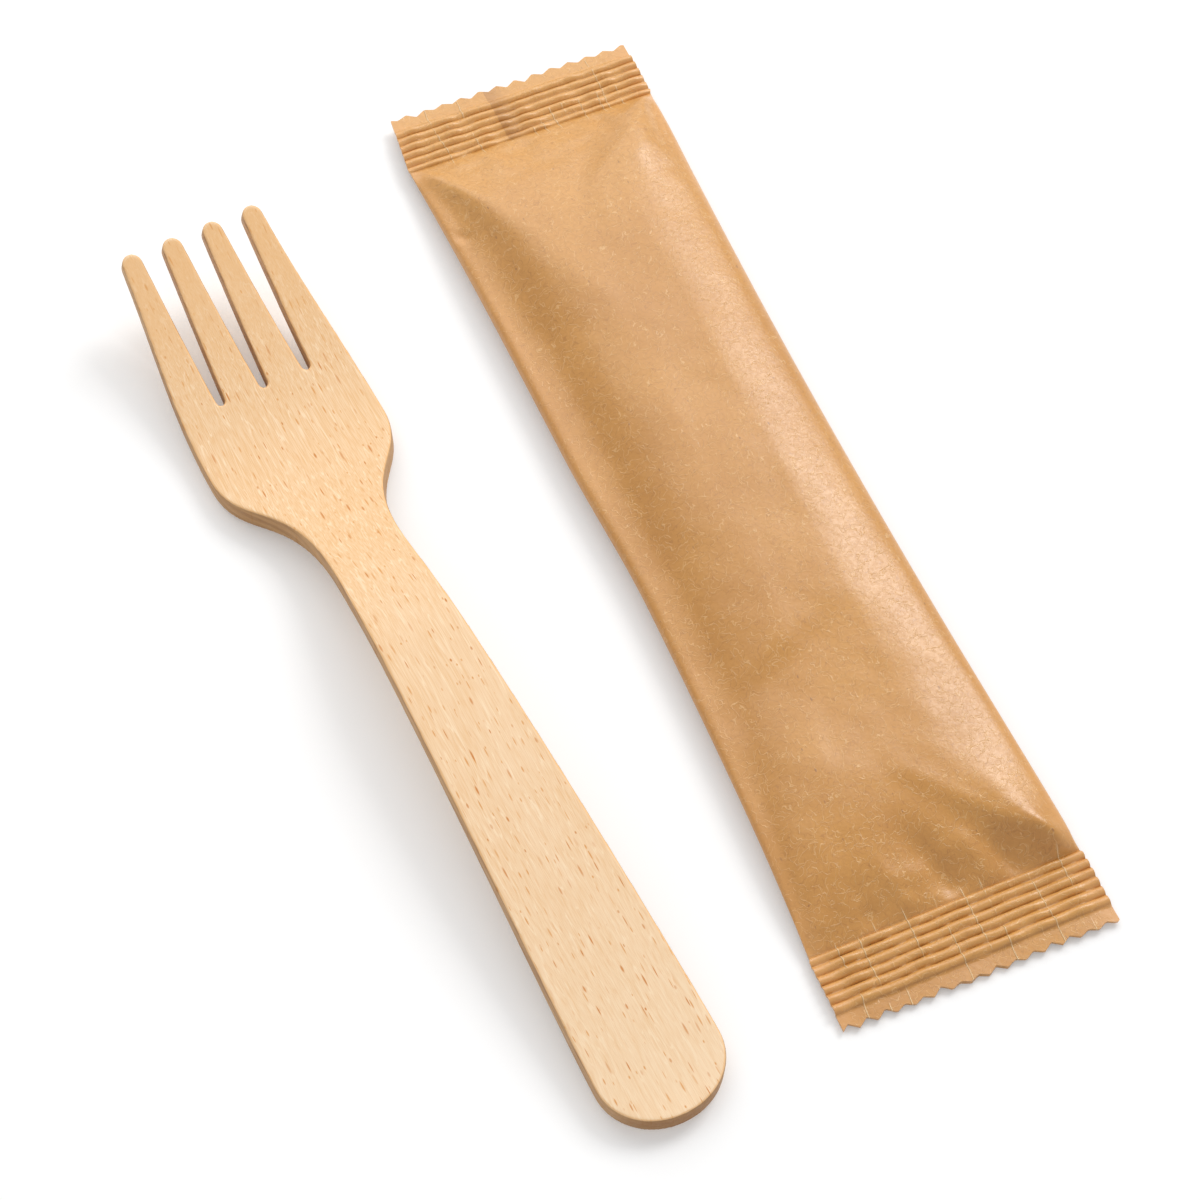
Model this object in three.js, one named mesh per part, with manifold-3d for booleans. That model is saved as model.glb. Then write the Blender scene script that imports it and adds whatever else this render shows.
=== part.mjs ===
// A wooden cutlery pack: a pressed wooden fork that lies beside its sealed paper sachet.
// Millimetres, +Z up. Both lie on z = 0, with the tines and the sachet's top seal towards +Y.
import * as THREE from "three";
import { mergeVertices } from "three/addons/utils/BufferGeometryUtils.js";
import { TessellateModifier } from "three/addons/modifiers/TessellateModifier.js";
import Module from "manifold-3d";

const wasm = await Module();
wasm.setup();

// Fork, plan: stations are counted from the handle's end
const forkLength = 160;
const handleWidth = 18.9;
const handleEndDepth = 8.6; // the end is a little blunter than a half round
const neckWidth = 12;
const neckAt = 96.4;
const headWidth = 28.8;
const headAt = 121.7;
const tineSpan = 23.4; // over the outer tines, at their tips
const tineCount = 4;
const tineLength = 26.5;
const slotTipWidth = 3.5;
const slotRootWidth = 1.3;
const slotRootPitch = 7.15;

// Fork, how full its flanks are: pulls along the length, as shares of the stretch they shape
const handlePull = 0.14;
const neckPull = 0.08;
const shoulderPull = 0.64;
const headPull = 0.43;
const headReach = 0.42;
const tineFlare = 0.4;

// Fork, side view: the handle rises to an arched neck, the head bellies down and the tines lift
const woodThickness = 2.8;
const tineThickness = 2.3;
const woodEdgeRound = 0.5;
const handleSlope = 0.135;
const archAt = 77;
const archHeight = 8.2;
const bellyAt = 123;
const tineLift = 11.6;
const tineSlope = 0.45;

// Sachet: flow wrap with a crimped, pinked seal at each end and a fin seal along the back
const sachetLength = 172.6;
const sachetWidth = 42.4;
const sealDepth = 11.7;
const ribCount = 6;
const ribPitch = 1.5;
const ribHeight = 0.6;
const sealThickness = 0.5;
const sealProud = 0.2; // of the pressed seal past the fold on either side
const topTeeth = 13;
const footTeeth = 15;
const toothDepth = 0.85;
const toothShift = 0.15; // of the teeth along the edge, as a share of their pitch
const topSealDraw = 1.3; // how far the top seal's fork side is drawn in at its pinked edge
const finWidth = 8;
const finThickness = 0.4;
const finOffset = 0.2; // of its middle from the sachet's middle, towards +X
const finEdge = 0.14; // width over which the fin's edge steps down

// Sachet, fullness of the pillow between the seals
const pillowHeight = 9;
const foldHeight = 3; // of the side folds, halfway along
const waist = 2; // how far each side fold is drawn in, halfway along
const topRise = 30; // length over which the pillow fills out from the top seal
const footRise = 22;
const endSteepness = 2.4;
const footDrop = 1.1; // how much lower the crown is towards the foot
const dropFrom = 10; // from here down to dropTo, counted from the sachet's middle
const dropTo = -50;
const settleReach = 15; // length over which the back comes down to the table
const bellySteepness = 3;
const topSealLevel = 2; // of the middle of the seal's thickness
const footSealLevel = 1;

// Sachet, across the pillow: the contents lie towards +X, and beside the fork the paper is a flat skirt.
// Places are counted from the sachet's middle line, halfway along
const skirtShare = 0.2; // height of the skirt, as a share of the crown's
const skirtEdge = 1.6; // width over which the skirt rounds off to the fold
const skirtEnd = -17.5;
const crownStart = -2.5;
const crownEnd = 7;
const steepestAt = 0.28; // of the way from the skirt to the crown
const shoulderFall = 0.62;
const shoulderLeast = 1.5; // width of the round shoulder at the seals' corners
const shoulderReach = 20; // length over which the shoulder spreads out from a corner
const crownReach = 42; // the same for the rise on the fork's side
const skirtOnset = 20; // the skirt begins this far from a seal
const cornerRound = 1.5;

const gatherDepth = 0.8; // gathers that run out from the seals and fade
const gatherPitch = 8.5;
const gatherOnset = 1.5;
const gatherReach = 7;

// How the two lie: the handle's clearance from the sachet's fold, its overhang and the fork's lean
const handleGap = 15.3;
const handleOverhang = 2.9;
const forkLean = THREE.MathUtils.degToRad(4.8);

// Fineness of the surfaces
const roundSteps = 20;
const tipSteps = 8;
const flankSteps = 10;
const longestFacet = 6.5;
const columnCount = 30;
const rowEvenness = 0.35; // 1 spaces the rows evenly, 0 crowds them towards the seals
const rowCount = 34;
const ribSteps = 6;

function cubic(t, start, startSlope, end, endSlope) {
  const s = 1 - t;
  return s * s * (start * (1 + 2 * t) + startSlope * t) + t * t * (end * (3 - 2 * t) - endSlope * s);
}

function arc(x, y, radiusX, radiusY, from, to, clockwise, steps) {
  return new THREE.EllipseCurve(x, y, radiusX, radiusY, from, to, clockwise).getPoints(steps);
}

function flank(from, fromPull, to, toPull) {
  const first = new THREE.Vector2(from.x, from.y + fromPull);
  const second = new THREE.Vector2(to.x, to.y - toPull);
  return new THREE.CubicBezierCurve(from, first, second, to).getPoints(flankSteps);
}

// Right flank of the fork, from the round handle end up to the outer tine's tip
function forkFlank(tipRadius) {
  const handle = new THREE.Vector2(handleWidth / 2, handleEndDepth);
  const neck = new THREE.Vector2(neckWidth / 2, neckAt);
  const head = new THREE.Vector2(headWidth / 2, headAt);
  const tip = new THREE.Vector2(tineSpan / 2, forkLength - tipRadius);
  const taper = neck.y - handle.y;
  const shoulder = head.y - neck.y;
  const side = tip.y - head.y;
  const lower = flank(handle, taper * handlePull, neck, taper * neckPull);
  const middle = flank(neck, shoulder * shoulderPull, head, shoulder * headPull);
  const lean = new THREE.Vector2(tip.x + (head.x - tip.x) * tineFlare, tip.y - side * tineFlare);
  const reach = new THREE.Vector2(head.x, head.y + side * headReach);
  const upper = new THREE.CubicBezierCurve(head, reach, lean, tip).getPoints(flankSteps);
  return [...lower, ...middle.slice(1), ...upper.slice(1, -1)];
}

// Tips and slots, from the right tine to the left one
function forkTines(tipRadius) {
  const points = [];
  const tipY = forkLength - tipRadius;
  const rootRadius = slotRootWidth / 2;
  const rootY = forkLength - tineLength + rootRadius;
  for (let i = 0; i < tineCount; i++) {
    const tipX = tineSpan / 2 - tipRadius - i * (2 * tipRadius + slotTipWidth);
    points.push(...arc(tipX, tipY, tipRadius, tipRadius, 0, Math.PI, false, tipSteps));
    if (i === tineCount - 1) break;
    const rootX = slotRootPitch * (tineCount / 2 - 1 - i);
    points.push(...arc(rootX, rootY, rootRadius, rootRadius, 0, -Math.PI, true, tipSteps));
  }
  return points;
}

function forkOutline() {
  const tipRadius = (tineSpan - (tineCount - 1) * slotTipWidth) / tineCount / 2;
  const half = handleWidth / 2;
  const end = arc(0, handleEndDepth, half, handleEndDepth, Math.PI, 2 * Math.PI, false, roundSteps);
  const right = forkFlank(tipRadius);
  const left = right.map((point) => new THREE.Vector2(-point.x, point.y)).reverse();
  const outline = [...end.slice(0, -1), ...right, ...forkTines(tipRadius), ...left.slice(0, -1)];
  return new THREE.Shape(outline);
}

// Height of the fork's underside and its slope at a station along its length
function forkProfile(y) {
  if (y < archAt) {
    const t = y / archAt;
    return cubic(t, 0, handleSlope * archAt, archHeight, 0);
  }
  if (y < bellyAt) return cubic((y - archAt) / (bellyAt - archAt), archHeight, 0, 0, 0);
  const reach = forkLength - bellyAt;
  return cubic((y - bellyAt) / reach, 0, 0, tineLift, tineSlope * reach);
}

function bendFork(geometry) {
  const position = geometry.getAttribute("position");
  const step = 0.01;
  for (let i = 0; i < position.count; i++) {
    const y = position.getY(i);
    const angle = Math.atan2(forkProfile(y + step) - forkProfile(y - step), 2 * step);
    const thinning = THREE.MathUtils.smoothstep(y, bellyAt, forkLength);
    const thickness = THREE.MathUtils.lerp(woodThickness, tineThickness, thinning);
    const height = position.getZ(i) * (thickness / woodThickness);
    position.setY(i, y - height * Math.sin(angle));
    position.setZ(i, forkProfile(y) + height * Math.cos(angle));
  }
}

function bare(geometry) {
  geometry.deleteAttribute("normal");
  geometry.deleteAttribute("uv");
  return mergeVertices(geometry, 1e-3);
}

function woodenFork() {
  const plate = new THREE.ExtrudeGeometry(forkOutline(), {
    depth: woodThickness - 2 * woodEdgeRound,
    bevelThickness: woodEdgeRound,
    bevelSize: woodEdgeRound,
    bevelOffset: -woodEdgeRound,
    bevelSegments: 2,
  });
  plate.translate(0, 0, woodEdgeRound);
  const fine = bare(new TessellateModifier(longestFacet, 24).modify(plate));
  bendFork(fine);
  fine.computeVertexNormals();
  const wood = new THREE.MeshStandardMaterial({ color: "#f2d0a6", roughness: 0.6, metalness: 0 });
  const mesh = new THREE.Mesh(fine, wood);
  mesh.name = "wooden_fork";
  return mesh;
}

function solid(geometry) {
  const merged = bare(geometry);
  const vertProperties = new Float32Array(merged.getAttribute("position").array);
  const triVerts = new Uint32Array(merged.index.array);
  return new wasm.Manifold(new wasm.Mesh({ numProp: 3, vertProperties, triVerts }));
}

function geometryOf(manifold) {
  const mesh = manifold.getMesh();
  const geometry = new THREE.BufferGeometry();
  geometry.setAttribute("position", new THREE.BufferAttribute(mesh.vertProperties, 3));
  geometry.setIndex(new THREE.BufferAttribute(mesh.triVerts, 1));
  geometry.computeVertexNormals();
  return geometry;
}

const pillowHalf = sachetLength / 2 - sealDepth;

// The pillow's skins are worked out from x, across it, and along, both from its middle
function fillingOut(along, reach, steepness) {
  const fromSeal = THREE.MathUtils.clamp((pillowHalf - Math.abs(along)) / reach, 0, 1);
  return 1 - Math.pow(1 - fromSeal, steepness);
}

function pillowFullness(along) {
  return fillingOut(along, along > 0 ? topRise : footRise, endSteepness);
}

function sealLevel(along) {
  return THREE.MathUtils.mapLinear(along, -pillowHalf, pillowHalf, footSealLevel, topSealLevel);
}

function pillowHalfWidth(along) {
  const share = THREE.MathUtils.clamp(Math.abs(along) / pillowHalf, 0, 1);
  return sachetWidth / 2 - sealProud - waist * (1 - share * share);
}

function foldLevel(along) {
  return THREE.MathUtils.lerp(sealLevel(along), foldHeight, pillowFullness(along));
}

// Height across the pillow, as a share of the crown's: skirt, rise, crown and round shoulder
function sectionShare(x, along) {
  const { clamp, lerp, smoothstep } = THREE.MathUtils;
  const half = pillowHalfWidth(along);
  const fromSeal = pillowHalf - Math.abs(along);
  const left = lerp(-half, skirtEnd, smoothstep(fromSeal, skirtOnset, crownReach));
  const middle = lerp(skirtEdge - half, crownStart, fillingOut(along, crownReach, cornerRound));
  const right = lerp(half - shoulderLeast, crownEnd, fillingOut(along, shoulderReach, cornerRound));
  const edge = clamp((x + half) / skirtEdge, 0, 1);
  const skirt = skirtShare * Math.sqrt(edge * (2 - edge));
  const way = clamp((x - left) / (middle - left), 0, 1);
  const early = (way * way) / steepestAt;
  const late = 1 - Math.pow(1 - way, 2) / (1 - steepestAt);
  const rise = (1 - skirtShare) * (way < steepestAt ? early : late);
  const past = clamp((x - right) / (half - right), 0, 1);
  return (skirt + rise) * Math.pow(1 - past * past, shoulderFall);
}

function gathers(x, along) {
  const fromSeal = Math.max(pillowHalf - Math.abs(along), 0);
  const fade = Math.exp(-fromSeal / gatherReach) * (1 - Math.exp(-fromSeal / gatherOnset));
  const share = x / pillowHalfWidth(along);
  return gatherDepth * fade * (1 - share * share) * Math.cos((2 * Math.PI * x) / gatherPitch);
}

function topSkin(x, along) {
  const drop = footDrop * THREE.MathUtils.smoothstep(-along, -dropFrom, -dropTo);
  const peak = pillowHeight - foldHeight - sealThickness / 2 - drop;
  const level = foldLevel(along) + sealThickness / 2;
  return level + pillowFullness(along) * peak * sectionShare(x, along) + gathers(x, along);
}

function bottomSkin(x, along) {
  const share = Math.abs(x) / pillowHalfWidth(along);
  const flat = foldLevel(along) - sealThickness / 2;
  const belly = finThickness + (flat - finThickness) * Math.pow(share, bellySteepness);
  const settled = THREE.MathUtils.smoothstep(pillowHalf - Math.abs(along), 0, settleReach);
  return THREE.MathUtils.lerp(flat, belly, settled);
}

// Columns across the pillow at its full width: even ones, and a close pair at each edge of the fin
function pillowColumns(finLeft, finRight) {
  const even = [];
  for (let i = 0; i <= columnCount; i++) even.push(sachetWidth * (i / columnCount - 0.5));
  const clearance = sachetWidth / columnCount / 4;
  const clear = even.filter((x) => Math.min(Math.abs(x - finLeft), Math.abs(x - finRight)) > clearance);
  const steps = [finLeft, finRight].flatMap((x) => [x - finEdge / 2, x + finEdge / 2]);
  return [...clear, ...steps].sort((a, b) => a - b);
}

function pillowBody() {
  const finLeft = finOffset - finWidth / 2;
  const finRight = finOffset + finWidth / 2;
  const columns = pillowColumns(finLeft, finRight);
  const overlap = ribPitch / 2;
  const { mapLinear } = THREE.MathUtils;
  const skins = [[], []];
  for (let j = 0; j <= rowCount; j++) {
    const s = -1 + (2 * j) / rowCount;
    const crowded = Math.sin((s * Math.PI) / 2);
    const along = (pillowHalf + overlap) * THREE.MathUtils.lerp(crowded, s, rowEvenness);
    const half = pillowHalfWidth(along);
    for (const column of columns) {
      // The fin keeps its width, and the paper on either side of it is drawn in at the waist
      const inFin = column > finLeft && column < finRight;
      let x = column;
      if (column < finLeft) x = mapLinear(column, -sachetWidth / 2, finLeft, -half, finLeft);
      if (column > finRight) x = mapLinear(column, finRight, sachetWidth / 2, finRight, half);
      skins[0].push(x, along, topSkin(x, along));
      skins[1].push(x, along, bottomSkin(x, along) - (inFin ? finThickness : 0));
    }
  }
  return closedGrid(skins, columns.length, rowCount + 1);
}

// A closed body from a top and a bottom grid of the same plan
function closedGrid(skins, across, along) {
  const index = [];
  const count = across * along;
  const quad = (a, b, c, d) => index.push(a, b, c, a, c, d);
  const at = (i, j, skin) => skin * count + j * across + i;
  for (let j = 0; j < along - 1; j++) {
    for (let i = 0; i < across - 1; i++) {
      quad(at(i, j, 0), at(i + 1, j, 0), at(i + 1, j + 1, 0), at(i, j + 1, 0));
      quad(at(i, j, 1), at(i, j + 1, 1), at(i + 1, j + 1, 1), at(i + 1, j, 1));
    }
    quad(at(0, j, 0), at(0, j + 1, 0), at(0, j + 1, 1), at(0, j, 1));
    const last = across - 1;
    quad(at(last, j, 1), at(last, j + 1, 1), at(last, j + 1, 0), at(last, j, 0));
  }
  for (let i = 0; i < across - 1; i++) {
    quad(at(i, 0, 1), at(i + 1, 0, 1), at(i + 1, 0, 0), at(i, 0, 0));
    const last = along - 1;
    quad(at(i, last, 0), at(i + 1, last, 0), at(i + 1, last, 1), at(i, last, 1));
  }
  const geometry = new THREE.BufferGeometry();
  geometry.setAttribute("position", new THREE.Float32BufferAttribute(skins.flat(), 3));
  geometry.setIndex(index);
  return geometry;
}

// One seal as its ribbed side view, run across the width: y grows outwards from the pillow
function sealStrip(width, middle, level, root) {
  const crimp = ribCount * ribPitch;
  const upper = [new THREE.Vector2(root, 0)];
  for (let i = 1; i < ribCount * ribSteps; i++) {
    const y = (crimp * i) / (ribCount * ribSteps);
    upper.push(new THREE.Vector2(y, (ribHeight / 2) * (1 - Math.cos((2 * Math.PI * y) / ribPitch))));
  }
  upper.push(new THREE.Vector2(crimp, 0), new THREE.Vector2(sealDepth + toothDepth, 0));
  const mid = (ribHeight - sealThickness) / 2;
  const over = upper.map((point) => new THREE.Vector2(point.x, level + point.y - mid));
  const under = over.map((point) => new THREE.Vector2(point.x, point.y - sealThickness));
  const side = new THREE.Shape([...under, ...over.reverse()]);
  const strip = new THREE.ExtrudeGeometry(side, { depth: width, bevelEnabled: false });
  strip.rotateX(Math.PI / 2).rotateZ(Math.PI / 2);
  return strip.translate(middle - width / 2, 0, 0);
}

// Prism that trims the end of a seal to its pinked edge
function pinkingCutter(teeth) {
  const pitch = sachetWidth / teeth;
  const edge = [new THREE.Vector2(-sachetWidth, sealDepth)];
  for (let i = 0; i <= teeth; i++) {
    const x = (i - toothShift) * pitch - sachetWidth / 2;
    edge.push(new THREE.Vector2(x, sealDepth), new THREE.Vector2(x + pitch / 2, sealDepth - toothDepth));
  }
  edge.push(new THREE.Vector2(sachetWidth, sealDepth), new THREE.Vector2(sachetWidth, 2 * sealDepth));
  edge.push(new THREE.Vector2(-sachetWidth, 2 * sealDepth));
  const height = 2 * pillowHeight;
  const cutter = new THREE.ExtrudeGeometry(new THREE.Shape(edge), { depth: height, bevelEnabled: false });
  return cutter.translate(0, 0, -height / 2);
}

// Draws the -X side of a seal in, evenly more towards its pinked edge
function drawIn(seal, draw) {
  const position = seal.getAttribute("position");
  for (let i = 0; i < position.count; i++) {
    const x = position.getX(i);
    const outward = Math.max(position.getY(i), 0) / sealDepth;
    position.setX(i, x + draw * outward * (0.5 - x / sachetWidth));
  }
}

function endSeal(level, teeth, mirrored) {
  const web = solid(sealStrip(sachetWidth, 0, level, 0));
  const finMiddle = mirrored ? -finOffset : finOffset;
  const fin = solid(sealStrip(finWidth, finMiddle, level - finThickness, -ribPitch));
  const seal = geometryOf(web.add(fin).subtract(solid(pinkingCutter(teeth))));
  if (mirrored) seal.rotateZ(Math.PI);
  else drawIn(seal, topSealDraw);
  return solid(seal.translate(0, mirrored ? -pillowHalf : pillowHalf, 0));
}

function paperSachet() {
  const top = endSeal(topSealLevel, topTeeth, false);
  const foot = endSeal(footSealLevel, footTeeth, true);
  const wrap = geometryOf(solid(pillowBody()).add(top).add(foot));
  const kraft = new THREE.MeshStandardMaterial({ color: "#d5a676", roughness: 0.75, metalness: 0 });
  const mesh = new THREE.Mesh(wrap, kraft);
  mesh.name = "paper_sachet";
  return mesh;
}

// The pack is centred on its footprint, and its lowest point is at z = 0
function cutleryPack() {
  const fork = woodenFork();
  const sachet = paperSachet();
  const forkX = -sachetWidth / 2 - handleGap - handleWidth / 2;
  fork.position.set(forkX, -sachetLength / 2 - handleOverhang, 0);
  fork.rotation.z = forkLean;
  const pair = new THREE.Group();
  pair.add(fork, sachet);
  const bounds = new THREE.Box3().setFromObject(pair, true);
  const centre = bounds.getCenter(new THREE.Vector3());
  pair.position.set(-centre.x, -centre.y, -bounds.min.z);
  const pack = new THREE.Group();
  pack.add(pair);
  return pack;
}

export default cutleryPack();
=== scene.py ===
import math

import bpy
import numpy as np
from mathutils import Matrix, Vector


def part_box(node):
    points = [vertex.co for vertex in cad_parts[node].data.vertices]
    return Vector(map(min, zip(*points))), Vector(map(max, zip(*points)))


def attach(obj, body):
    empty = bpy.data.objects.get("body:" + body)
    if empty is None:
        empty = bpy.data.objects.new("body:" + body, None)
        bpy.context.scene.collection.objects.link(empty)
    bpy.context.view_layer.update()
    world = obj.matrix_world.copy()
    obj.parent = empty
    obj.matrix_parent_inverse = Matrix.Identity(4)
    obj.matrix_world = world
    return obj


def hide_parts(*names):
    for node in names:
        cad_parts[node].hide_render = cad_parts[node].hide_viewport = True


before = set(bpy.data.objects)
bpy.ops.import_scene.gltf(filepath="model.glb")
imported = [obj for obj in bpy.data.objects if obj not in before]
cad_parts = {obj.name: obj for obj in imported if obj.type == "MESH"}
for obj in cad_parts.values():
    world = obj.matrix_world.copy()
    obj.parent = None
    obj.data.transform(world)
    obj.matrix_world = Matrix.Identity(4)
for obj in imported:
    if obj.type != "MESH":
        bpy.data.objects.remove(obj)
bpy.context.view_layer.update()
scene = bpy.context.scene
mm = 0.001

sachetLow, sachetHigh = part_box("paper_sachet")
sachetMiddle = np.array((sachetLow + sachetHigh) / 2) / mm
print("frame loaded, sachet middle at", sachetMiddle[:2].round(2))


# ---- camera, light and floor

cameraSetup = {
    "lens": 92.82,
    "sensor": 36.0,
    "elevation": 58.838,
    "azimuth": 23.346,       # the camera stands towards -X and -Y
    "distance": 0.45685,
    "target": (0.000708, -0.007891, 0.0),
}


def fromAngles(azimuth, elevation):
    a = math.radians(azimuth)
    e = math.radians(elevation)
    return np.array([math.sin(a) * math.cos(e), math.cos(a) * math.cos(e), math.sin(e)])


def aim(thing, place, target):
    away = bpy.context.blend_data.objects.new("aimHelper", None)
    away.location = [float(p - t) for p, t in zip(place, target)]
    thing.location = [float(p) for p in place]
    thing.rotation_euler = away.location.to_track_quat("Z", "Y").to_euler()
    bpy.data.objects.remove(away)


def addCamera(setup):
    data = bpy.data.cameras.new("photoCamera")
    data.lens = setup["lens"]
    data.sensor_width = setup["sensor"]
    data.clip_start = 0.01
    camera = bpy.data.objects.new("photoCamera", data)
    scene.collection.objects.link(camera)
    target = np.array(setup["target"])
    place = target + setup["distance"] * fromAngles(180 + setup["azimuth"], setup["elevation"])
    aim(camera, place, target)
    scene.camera = camera


lamps = {
    "key": {"azimuth": 61, "elevation": 42, "distance": 1.3, "size": 0.52, "power": 6.8},
    "back": {"azimuth": 10, "elevation": 44, "distance": 1.3, "size": 1.3, "power": 7.4},
}
skyLevel = 0.6
floorLook = {"grey": 0.8, "glow": 0.20, "halfSize": 4.0, "below": 0.0001}


def addLamps():
    for name, lamp in lamps.items():
        data = bpy.data.lights.new(name + "Lamp", "AREA")
        data.size = lamp["size"]
        data.energy = lamp["power"]
        light = bpy.data.objects.new(name + "Lamp", data)
        scene.collection.objects.link(light)
        aim(light, lamp["distance"] * fromAngles(lamp["azimuth"], lamp["elevation"]), (0, 0, 0))


# ---- small helpers for node trees

def plug(tree, socket, value):
    if isinstance(value, bpy.types.NodeSocket):
        tree.links.new(value, socket)
    else:
        socket.default_value = value


def addNode(tree, kind, sockets=None, **settings):
    node = tree.nodes.new(kind)
    for name, value in settings.items():
        setattr(node, name, value)
    for name, value in (sockets or {}).items():
        plug(tree, node.inputs[name], value)
    return node


def calc(tree, operation, *values):
    node = addNode(tree, "ShaderNodeMath", dict(enumerate(values)), operation=operation)
    return node.outputs[0]


def calcVector(tree, operation, *values):
    node = addNode(tree, "ShaderNodeVectorMath", dict(enumerate(values)), operation=operation)
    return node.outputs["Value" if operation == "LENGTH" else "Vector"]


def ramp(tree, value, low, high, toLow=0.0, toHigh=1.0):
    sockets = {"Value": value, "From Min": low, "From Max": high, "To Min": toLow, "To Max": toHigh}
    node = addNode(tree, "ShaderNodeMapRange", sockets, interpolation_type="SMOOTHSTEP")
    return node.outputs["Result"]


def mixColour(tree, factor, first, second):
    node = addNode(tree, "ShaderNodeMix", data_type="RGBA")
    plug(tree, node.inputs["Factor"], factor)
    plug(tree, node.inputs[6], first)        # 6 and 7 are the node's two colours
    plug(tree, node.inputs[7], second)
    return node.outputs[2]


def tint(tree, body, mask, share, tone):
    # lays a tone over the body where the mask is
    return mixColour(tree, calc(tree, "MULTIPLY", mask, share), body, tone)


def noise(tree, vector, scale, detail=2.0, distortion=0.0):
    sockets = {"Vector": vector, "Scale": scale, "Detail": detail, "Distortion": distortion}
    return addNode(tree, "ShaderNodeTexNoise", sockets).outputs["Fac"]


def colour(red, green, blue):
    # screen values 0 to 255, given to the nodes as linear light
    def linear(v):
        v = v / 255
        return v / 12.92 if v <= 0.04045 else ((v + 0.055) / 1.055) ** 2.4
    return (linear(red), linear(green), linear(blue), 1.0)


def newGroup(name, inputs, outputs):
    tree = bpy.data.node_groups.new(name, "ShaderNodeTree")
    for label, (kind, value) in inputs.items():
        socket = tree.interface.new_socket(name=label, in_out="INPUT", socket_type="NodeSocket" + kind)
        if value is not None:
            socket.default_value = value
    for label in outputs:
        tree.interface.new_socket(name=label, in_out="OUTPUT", socket_type="NodeSocketFloat")
    return tree, tree.nodes.new("NodeGroupInput"), tree.nodes.new("NodeGroupOutput")


def useGroup(tree, group, **sockets):
    node = tree.nodes.new("ShaderNodeGroup")
    node.node_tree = group
    for name, value in sockets.items():
        plug(tree, node.inputs[name], value)
    return node.outputs[0]


# ---- surface effects of the wood and the paper, each built once

def makeMottleGroup():
    # soft patches of lighter and darker tone, 0 to 1 with 0.5 between
    inputs = {"Vector": ("Vector", None), "Scale": ("Float", 60.0), "Contrast": ("Float", 1.0)}
    tree, given, made = newGroup("softMottle", inputs, ["Tone"])
    patches = noise(tree, given.outputs["Vector"], given.outputs["Scale"], 4.0, 0.3)
    away = calc(tree, "MULTIPLY", calc(tree, "SUBTRACT", patches, 0.5), given.outputs["Contrast"])
    node = addNode(tree, "ShaderNodeMath", {0: away, 1: 0.5}, operation="ADD", use_clamp=True)
    tree.links.new(node.outputs[0], made.inputs["Tone"])
    return tree


def makeFibreGroup():
    # short curved hairs: the contour lines of a noise, broken up by a second one
    inputs = {
        "Vector": ("Vector", None),
        "Scale": ("Float", 500.0),
        "Thickness": ("Float", 0.03),
        "Coverage": ("Float", 0.5),
        "Curl": ("Float", 1.2),
    }
    tree, given, made = newGroup("fibreLines", inputs, ["Mask"])
    field = noise(tree, given.outputs["Vector"], given.outputs["Scale"], 0.6, given.outputs["Curl"])
    off = calc(tree, "ABSOLUTE", calc(tree, "SUBTRACT", field, 0.5))
    line = ramp(tree, off, 0.0, given.outputs["Thickness"], 1.0, 0.0)
    breakScale = calc(tree, "MULTIPLY", given.outputs["Scale"], 0.83)
    moved = calcVector(tree, "ADD", given.outputs["Vector"], (0.37, 0.21, 0.13))
    breaks = noise(tree, moved, breakScale, 1.0)
    start = calc(tree, "SUBTRACT", 1.0, given.outputs["Coverage"])
    kept = ramp(tree, breaks, start, calc(tree, "ADD", start, 0.06))
    tree.links.new(calc(tree, "MULTIPLY", line, kept), made.inputs["Mask"])
    return tree


def randomCells(tree, vector, width, length):
    # one random point in each cell: the way from it in metres, and three random values
    cellSize = addNode(tree, "ShaderNodeCombineXYZ", {"X": width, "Y": length, "Z": 1.0}).outputs[0]
    inCells = calcVector(tree, "DIVIDE", vector, cellSize)
    sockets = {"Vector": inCells, "Scale": 1.0}
    cells = addNode(tree, "ShaderNodeTexVoronoi", sockets, voronoi_dimensions="2D")
    gap = calcVector(tree, "SUBTRACT", inCells, cells.outputs["Position"])
    gap = calcVector(tree, "MULTIPLY", calcVector(tree, "MULTIPLY", gap, cellSize), (1, 1, 0))
    luck = addNode(tree, "ShaderNodeSeparateColor", {"Color": cells.outputs["Color"]}).outputs
    return gap, luck


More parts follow.
